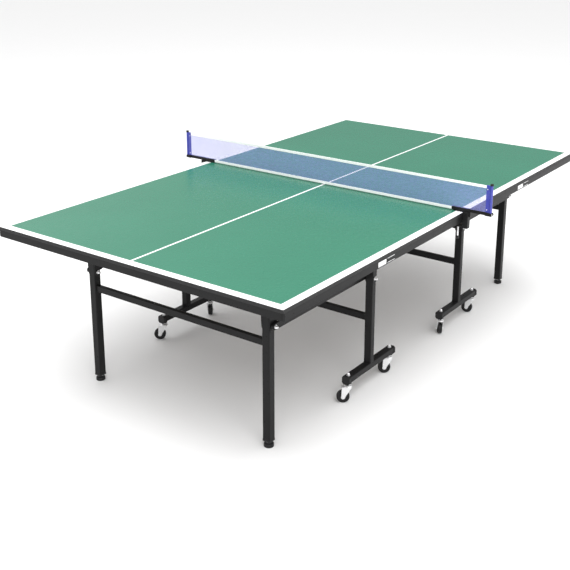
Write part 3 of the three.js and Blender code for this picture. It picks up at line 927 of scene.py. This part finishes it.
class TABLE_OT_casters(bpy.types.Operator):
    """Models the eight swivel casters where the frame's joints say"""
    bl_idname = "table.casters"
    bl_label = "Casters"

    def execute(self, context):
        fork, wheel = caster_fork(), caster_wheel(context.scene.table_sizes.wheel_segments)
        for half, side, hand, s, quarter in corner_names():
            for end in ENDS:
                name = f"{quarter}_{end}"
                stem = Vector(joint_named(f"{name}_swivel")["pos_m"])
                spin = joint_named(f"{name}_spin")
                hub, axis = Vector(spin["pos_m"]), Vector(spin["axis"])
                heading = math.atan2(hub.y - stem.y, hub.x - stem.x)
                place = Matrix.Translation((stem.x, stem.y, 0)) @ Matrix.Rotation(heading, 4, "Z")
                piece = copy_of(fork, f"{name}_fork", place)
                finished(piece, "zinc_plate", f"{name}_caster", [f"{name}_caster_fork"])
                seal = turned(f"{name}_seal", mm(
                    (10.4, 83), (12.8, 83), (13.2, 83.5), (13.2, 85.4),
                    (12.8, 85.9), (10.4, 85.9)), 36, place)
                finished(seal, "moulded_plastic", f"{name}_caster")
                piece = copy_of(wheel, f"{name}_tread", at(hub, axis))
                finished(piece, "caster_rubber", f"{name}_wheel", [f"{name}_caster_wheel"], smooth=50)
        discard(fork, wheel)
        return {"FINISHED"}


# ---- Net -----------------------------------------------------------------------------

def net_threads(sizes, low, high, arm_in, arm_top):
    """The net's upright and level cords as one stretched sheet, cut out over each clamp arm."""
    half = sizes.net_thread / 2
    top, bottom = high.z - sizes.tape * 0.5, low.z + sizes.tape * 0.5
    deep = 0.35 * MM
    upright = block("upright", (-deep, -half, 0), (deep, half, 1))
    level = block("level", (-deep * 0.7, 0, -half), (deep * 0.7, 1, half))
    cords = []
    count = int((high.y - low.y) / sizes.net_pitch)
    for i in range(count + 1):
        y = low.y + half + i * (high.y - low.y - 2 * half) / count
        foot = bottom if abs(y) < arm_in else arm_top
        place = Matrix.Translation((0, y, foot)) @ Matrix.Diagonal((1, 1, top - foot, 1))
        cords.append(copy_of(upright, "cord", place))
    rows = int((top - bottom) / sizes.net_pitch)
    for i in range(1, rows):
        z = bottom + i * (top - bottom) / rows
        reach = high.y if z > arm_top + half else arm_in
        place = Matrix.Translation((0, -reach, z)) @ Matrix.Diagonal((1, 2 * reach, 1, 1))
        cords.append(copy_of(level, "cord", place))
    discard(upright, level)
    return joined("net_cords", *cords)


def net_tape(name, reach, low_z, high_z, fold_up):
    """A folded binding: two faces over the net's edge with a rounded fold."""
    thick = 1.5 * MM
    tape = block(name, (-thick, -reach, low_z), (thick, reach, high_z))
    fold_z = high_z if fold_up else low_z
    round_edges(tape, 1.3 * MM, 4, lambda e: along(1)(e) and abs(centre_of(e).z - fold_z) < 1e-6)
    return round_edges(tape, 0.4 * MM, 2, lambda e: e.calc_face_angle(0) > 1.2)


def stitch_row(name, reach, z, pitch=9 * MM):
    """Raised stitches along a tape, on both faces."""
    corner = Vector((1.75, 2.6, 0.35)) * MM
    stitch = soft_block("stitch", -corner, corner, 0.25 * MM, 1)
    count = int(2 * reach / pitch)
    row = modified(stitch, "ARRAY", count=count, use_relative_offset=False, use_constant_offset=True,
                   constant_offset_displace=(0, pitch, 0))
    piece = copy_of(row, name, Matrix.Translation((0, -pitch * (count - 1) / 2, z)))
    discard(row)
    return piece


class TABLE_OT_net(bpy.types.Operator):
    """Models the stretched net with its tapes"""
    bl_idname = "table.net"
    bl_label = "Net"

    def execute(self, context):
        sizes = context.scene.table_sizes
        low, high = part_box("net_mesh")
        arm_low, arm_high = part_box("left_net_clamp_arm")
        arm_in = arm_low.y - 1 * MM
        cords = net_threads(sizes, low, high, arm_in, arm_high.z + 0.6 * MM)
        top = net_tape("net_top_tape", high.y, high.z - sizes.tape, high.z, True)
        bottom = net_tape("net_bottom_tape", arm_in, low.z, low.z + sizes.tape, False)
        seams = [stitch_row("top_seam", high.y - 6 * MM, high.z - sizes.tape + 2.2 * MM),
                 stitch_row("bottom_seam", arm_in - 6 * MM, low.z + sizes.tape - 2.2 * MM)]
        for piece in (top, bottom):
            finished(piece, "white_tape", "far_top")
        seam = finished(joined("net_tape_seams", *seams), "white_tape", "far_top")
        finished(cords, "net_cord", "far_top", ["net_mesh"], smooth=30)
        return {"FINISHED"}


# ---- Net posts and clamps ------------------------------------------------------------

def net_post(hand, s):
    """The blue post: a round tube, the flat holder that grips the net, and a black cap."""
    node = f"{hand}_net_post"
    low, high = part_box(node)
    r = 6.5 * MM
    y = s * NET_POST_Y
    shaft = turned("shaft", [(r - 0.4 * MM, low.z), (r, low.z + 0.4 * MM), (r, high.z)], 32, at((0, y, 0)))
    inner, outer = [s * y for y in HOLDER]
    strip = soft_block("strip", (-2 * MM, inner, low.z), (2 * MM, outer, high.z - 1 * MM), 0.9 * MM, 3)
    finished(joined(f"{hand}_post", shaft, strip), "post_paint", "far_top", [node])
    cap = turned(f"{hand}_post_cap", [
        (r + 0.7 * MM, high.z - 2 * MM), (r + 0.9 * MM, high.z - 1.4 * MM), (r + 0.9 * MM, high.z + 4.6 * MM),
        (r, high.z + 6.6 * MM), (r - 3 * MM, high.z + 7.8 * MM)], 32, at((0, y, 0)))
    finished(cap, "moulded_plastic", "far_top")
    rivets = [turned("rivet", mm((2.6, 0), (2.6, 0.5), (1.4, 1.2)), 16,
                     at((-2 * MM, s * HOLDER_RIVET, z), (-1, 0, 0)))
              for z in (low.z + 12 * MM, high.z - 20 * MM)]
    finished(joined(f"{hand}_post_rivets", *rivets), "zinc_plate", "far_top")


def clamp_arm(hand, s):
    """The black arm and its clamp: a round-ended bar, the upper and lower jaws and a ribbed back."""
    node = f"{hand}_net_clamp_arm"
    low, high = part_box(node)
    arm_bottom, arm_top = high.z - 15 * MM, high.z
    inner, edge = s * ARM_IN, s * ARM_EDGE
    x0, x1 = -1.5 * MM, 12.5 * MM
    bar = round_edges(block("bar", (x0, inner, arm_bottom), (x1, s * ARM_END, arm_top)), 2 * MM, 3, along(1))
    round_edges(bar, 0.8 * MM, 2, lambda e: e.calc_face_angle(0) > 1.2)
    end_r = 7.5 * MM
    arm_end = (x0, s * ARM_END, (arm_bottom + arm_top) / 2)
    outline = [(end_r - 0.8 * MM, 0), (end_r, 0.8 * MM), (end_r, 13.2 * MM), (end_r - 0.8 * MM, 14 * MM)]
    nose = turned("nose", outline, 32, at(arm_end, (1, 0, 0)))
    seat_end = (x1, s * ARM_SEAT[1], arm_top)
    seat = soft_block("seat", (-8 * MM, s * ARM_SEAT[0], arm_bottom), seat_end, 1.5 * MM, 3)
    jaw_end = (17 * MM, s * UPPER_JAW[1], arm_bottom + 0.5 * MM)
    jaw = soft_block("jaw", (x0, s * UPPER_JAW[0], JAW_UNDER), jaw_end)
    back = block("back", (-11 * MM, edge, low.z), (17 * MM, edge + s * 28 * MM, arm_bottom + 0.5 * MM))
    with editing(back):
        pick(back, "verts", lambda v: v.co.z < low.z + 1e-5)
        bpy.ops.transform.resize(value=(0.88, 0.94, 1), center_override=(3 * MM, edge, low.z))
    round_edges(back, 2.2 * MM, 3)
    lower_end = (17 * MM, edge + s * 3 * MM, low.z + 12 * MM)
    lower = soft_block("lower", (2.3 * MM, s * LOWER_JAW_IN, low.z), lower_end, 1.2 * MM)
    web_end = (9 * MM, edge + s * 34 * MM, arm_bottom + 2 * MM)
    web = soft_block("web", (-1 * MM, edge + s * 2 * MM, arm_bottom - 24 * MM), web_end, 2 * MM)
    pieces = [bar, nose, seat, jaw, back, lower, web]
    finished(joined(f"{hand}_clamp", *pieces), "powder_coat", "far_top", [node])
    ring = turned(f"{hand}_arm_eyelet", mm(
        (6.6, -0.5), (6.6, 0.9), (6, 1.5), (3.9, 1.5), (3.4, 1),
        (3.4, -0.3)), 32, at(arm_end, (-1, 0, 0)))
    finished(ring, "zinc_plate", "far_top")
    # Painted shade: a small black disc in the eyelet's bore stands in for the shade inside its hole.
    eyelet_shade_disc = turned(f"{hand}_arm_plug", mm((3.2, -0.2), (3.2, 0.5), (2.2, 0.9)), 24,
                  at(arm_end, (-1, 0, 0)))
    finished(eyelet_shade_disc, "moulded_plastic", "far_top")


def clamp_screw(hand):
    """The screw that tightens the clamp from below, with a winged knob."""
    node = f"{hand}_clamp_screw"
    low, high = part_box(node)
    c = middle(low, high)
    body = f"{hand}_screw"
    thread = [(3.6 * MM, low.z + 10 * MM)]
    steps = 34
    pitch = (high.z - 5 * MM - (low.z + 11 * MM)) / steps
    for i in range(steps):
        z = low.z + 11 * MM + i * pitch
        thread += [(4.5 * MM, z), (3.9 * MM, z + pitch * 0.5)]
    rod = turned("rod", thread, 20, at((c.x, c.y, 0)))
    outline = mm((6, -4.6), (7, -3.8), (7, -0.6), (6.4, 0))
    pad = turned("pad", outline, 28, at((c.x, c.y, high.z)))
    finished(joined(f"{hand}_screw_rod", rod, pad), "zinc_plate", body, [node])
    knob = turned("knob", [(6 * MM, low.z), (7.6 * MM, low.z + 1.2 * MM), (7.6 * MM, low.z + 11 * MM),
                           (5.6 * MM, low.z + 13.6 * MM)], 28, at((c.x, c.y, 0)))
    wings = soft_block("wings", (c.x - 10.8 * MM, c.y - 2.6 * MM, low.z + 0.6 * MM),
                       (c.x + 10.8 * MM, c.y + 2.6 * MM, low.z + 11.4 * MM), 1.6 * MM, 3)
    finished(joined(f"{hand}_screw_knob", knob, wings), "moulded_plastic", body)


class TABLE_OT_net_clamps(bpy.types.Operator):
    """Models the net posts, their arms, clamps and clamp screws"""
    bl_idname = "table.net_clamps"
    bl_label = "Net Posts and Clamps"

    def execute(self, context):
        for hand, s in HANDS:
            net_post(hand, s)
            clamp_arm(hand, s)
            clamp_screw(hand)
        return {"FINISHED"}


# ---- Stickers ------------------------------------------------------------------------

class TABLE_OT_stickers(bpy.types.Operator):
    """Puts a plain pale block and two thin stripes on each half's right apron"""
    bl_idname = "table.stickers"
    bl_label = "Stickers"

    def execute(self, context):
        for half, side in HALVES:
            low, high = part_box(f"{half}_tabletop")
            y = low.y - 0.35 * MM
            centre = side * STICKER_X
            bars = []
            bottom, top = STICKER_Z
            shapes = [(*STICKER_BLOCK, bottom, top), (*STICKER_STRIPES, bottom, bottom + STRIPE),
                      (*STICKER_STRIPES, top - STRIPE, top)]
            for start, end, bottom, top in shapes:
                corner = (centre + start, y - 0.2 * MM, bottom)
                plate = block("bar", corner, (centre + end, y + 0.3 * MM, top))
                bars.append(round_edges(plate, 0.8 * MM, 3, along(1)))
            finished(joined(f"{half}_side_sticker", *bars), "sticker", f"{half}_top")
        return {"FINISHED"}


# ---- Stage ---------------------------------------------------------------------------

class StageSettings(bpy.types.PropertyGroup):
    """Camera and lights."""
    camera: FloatVectorProperty(
        name="Camera", description="Place of the camera", size=3, default=(-3.836, -2.581, 2.088),
        subtype="TRANSLATION", unit="LENGTH")
    heading: FloatProperty(
        name="Heading", description="Turn of the view from +X towards +Y",
        default=math.radians(36.29), subtype="ANGLE", unit="ROTATION")
    down: FloatProperty(
        name="Down", description="Tilt of the view below the horizon",
        default=math.radians(16.37), subtype="ANGLE", unit="ROTATION")
    lens: FloatProperty(name="Lens", description="Focal length on a 36 mm sensor", default=61.23, min=10)
    shift: FloatProperty(name="Shift", description="Upward shift of the lens", default=-0.1667)
    sky: FloatProperty(name="Sky", description="Brightness of the studio walls", default=1.03, min=0)
    key: FloatProperty(
        name="Key light", description="Power of each soft panel", default=300.0, min=0, unit="POWER")


def plain_material(name, colour, roughness):
    n = Nodes(name, colour, roughness)
    n.set(specular_ior_level=0.2)
    n.colour(n.blend(n.spread(n.noise(3, 3), 0, 1, 0.3, 0.7), tinted(colour, 0.995), colour))
    return n.material


def area_light(name, place, target, size, power):
    light = bpy.data.lights.new(name, "AREA")
    light.shape = "RECTANGLE"
    light.size, light.size_y = size
    light.energy = power
    lamp = bpy.data.objects.new(name, light)
    bpy.context.scene.collection.objects.link(lamp)
    lamp.location = place
    lamp.rotation_euler = (Vector(target) - Vector(place)).to_track_quat("-Z", "Y").to_euler()
    return lamp


def studio_walls(strength, shade=0.42, azimuth=math.radians(15)):
    """White walls all round, except for a greyer one behind the table that keeps the top's shine low."""
    world = bpy.data.worlds.new("studio")
    world.use_nodes = True
    tree = world.node_tree
    toward = tree.nodes.new("ShaderNodeVectorMath")
    toward.operation = "DOT_PRODUCT"
    toward.inputs[1].default_value = (math.cos(azimuth), math.sin(azimuth), 0)
    tree.links.new(tree.nodes.new("ShaderNodeTexCoord").outputs["Generated"], toward.inputs[0])
    grey = tree.nodes.new("ShaderNodeMapRange")
    turns = {"From Min": 0.74, "From Max": 0.90, "To Min": strength, "To Max": strength * shade}
    for key, number in turns.items():
        grey.inputs[key].default_value = number
    tree.links.new(toward.outputs["Value"], grey.inputs["Value"])
    background = tree.nodes["Background"]
    background.inputs["Color"].default_value = (1, 1, 1, 1)
    tree.links.new(grey.outputs["Result"], background.inputs["Strength"])
    return world


class TABLE_OT_stage(bpy.types.Operator):
    """Sets the pale floor, the soft studio light and the camera"""
    bl_idname = "table.stage"
    bl_label = "Stage"

    def execute(self, context):
        stage = context.scene.table_stage
        deselect()
        bpy.ops.mesh.primitive_plane_add(size=60, location=(0, 0, 0))
        floor = settle(bpy.context.object, "floor")
        floor.data.materials.append(plain_material("studio_floor", (0.90, 0.90, 0.90), 0.9))
        context.scene.world = studio_walls(stage.sky)
        area_light("overhead", (0, 0, 7), (0, 0, 0.3), (7, 7), stage.key)
        area_light("front", (-4, -3.5, 6), (0, 0, 0.3), (5, 5), stage.key)
        context.scene.view_settings.view_transform = "Standard"
        data = bpy.data.cameras.new("camera")
        camera = bpy.data.objects.new("camera", data)
        context.scene.collection.objects.link(camera)
        camera.location = stage.camera
        ahead = Vector((math.cos(stage.heading) * math.cos(stage.down),
                        math.sin(stage.heading) * math.cos(stage.down), -math.sin(stage.down)))
        camera.rotation_euler = ahead.to_track_quat("-Z", "Y").to_euler()
        data.sensor_width, data.lens = 36, stage.lens
        data.shift_y = stage.shift
        context.scene.camera = camera
        return {"FINISHED"}


# ---- Panel and registration ----------------------------------------------------------

OPERATORS = (
    TABLE_OT_stage, TABLE_OT_boards, TABLE_OT_end_legs, TABLE_OT_wheel_frames, TABLE_OT_brackets,
    TABLE_OT_casters, TABLE_OT_net, TABLE_OT_net_clamps, TABLE_OT_stickers,
)


class TABLE_PT_sidebar(bpy.types.Panel):
    """Lists the table's sizes, finishes and modelling steps."""
    bl_idname = "TABLE_PT_sidebar"
    bl_label = "Ping Pong Table"
    bl_space_type = "VIEW_3D"
    bl_region_type = "UI"
    bl_category = "Table"

    def draw(self, context):
        for name in ("table_sizes", "table_finishes", "table_stage"):
            settings = getattr(context.scene, name)
            column = self.layout.box().column()
            for key in type(settings).__annotations__:
                column.prop(settings, key)
        for operator in OPERATORS:
            self.layout.operator(operator.bl_idname)


CLASSES = (TableFinishes, TableSizes, StageSettings, *OPERATORS, TABLE_PT_sidebar)


def register():
    for cls in CLASSES:
        bpy.utils.register_class(cls)
    bpy.types.Scene.table_sizes = PointerProperty(type=TableSizes)
    bpy.types.Scene.table_finishes = PointerProperty(type=TableFinishes)
    bpy.types.Scene.table_stage = PointerProperty(type=StageSettings)


def unregister():
    del bpy.types.Scene.table_stage
    del bpy.types.Scene.table_finishes
    del bpy.types.Scene.table_sizes
    for cls in reversed(CLASSES):
        bpy.utils.unregister_class(cls)


def main():
    register()
    bpy.ops.table.stage()
    bpy.ops.table.boards()
    bpy.ops.table.end_legs()
    bpy.ops.table.wheel_frames()
    bpy.ops.table.brackets()
    bpy.ops.table.casters()
    bpy.ops.table.net()
    bpy.ops.table.net_clamps()
    bpy.ops.table.stickers()


if __name__ == "__main__":
    main()
